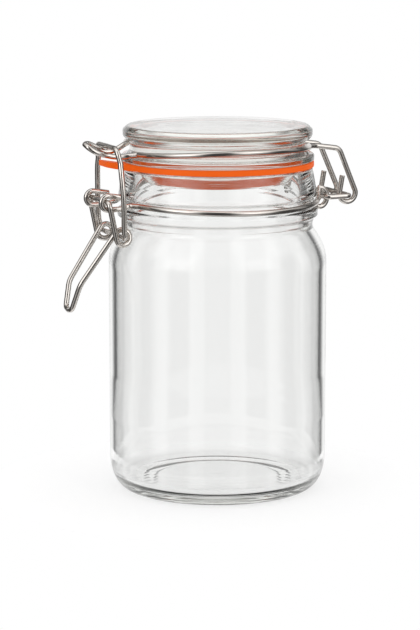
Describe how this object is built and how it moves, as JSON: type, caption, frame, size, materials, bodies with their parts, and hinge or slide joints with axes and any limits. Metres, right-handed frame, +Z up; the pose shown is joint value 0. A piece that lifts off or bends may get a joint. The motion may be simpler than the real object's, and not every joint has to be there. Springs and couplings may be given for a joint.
{
  "type": "clip top jar",
  "caption": "Clear glass preserving jar with a glass lid, a rubber sealing ring with a pull tab, a wire hinge and a wire lever clip; empty and closed.",
  "frame": {"origin": "middle of the whole part's box on the surface it stands on; the jar's axis is 4.1 mm towards +X", "axes": "+Z up the jar, the clip towards -X, the hinge towards +X"},
  "size_m": [0.1488, 0.1062, 0.1786],
  "materials": {
    "glass": "clear, smooth",
    "rubber": "matt orange",
    "steel": "bright drawn wire"
  },
  "bodies": {
    "jar": {"jar_glass": "glass", "neck_wire_near": "steel", "neck_wire_far": "steel", "hinge_link": "steel"},
    "lid": {"lid_glass": "glass", "gasket": "rubber", "lid_wire": "steel"},
    "lever": {"lever": "steel"},
    "bail": {"bail": "steel"}
  },
  "joints": [
    {"name": "lid_hinge", "type": "hinge", "parent": "jar", "child": "lid", "pos_m": [0.06845, 0, 0.1421], "axis": [0, 1, 0], "range_deg": [0, 110]},
    {"name": "lever_pivot", "type": "hinge", "parent": "jar", "child": "lever", "pos_m": [-0.05695, 0, 0.1444], "axis": [0, 1, 0], "range_deg": [0, 90]},
    {"name": "bail_pivot", "type": "hinge", "parent": "lever", "child": "bail", "pos_m": [-0.04975, 0, 0.1274], "axis": [0, 1, 0], "range_deg": [-135, 0]}
  ],
  "couplings": [
    {"joint": "bail_pivot", "follows": "lever_pivot", "ratio": -1.5}
  ]
}
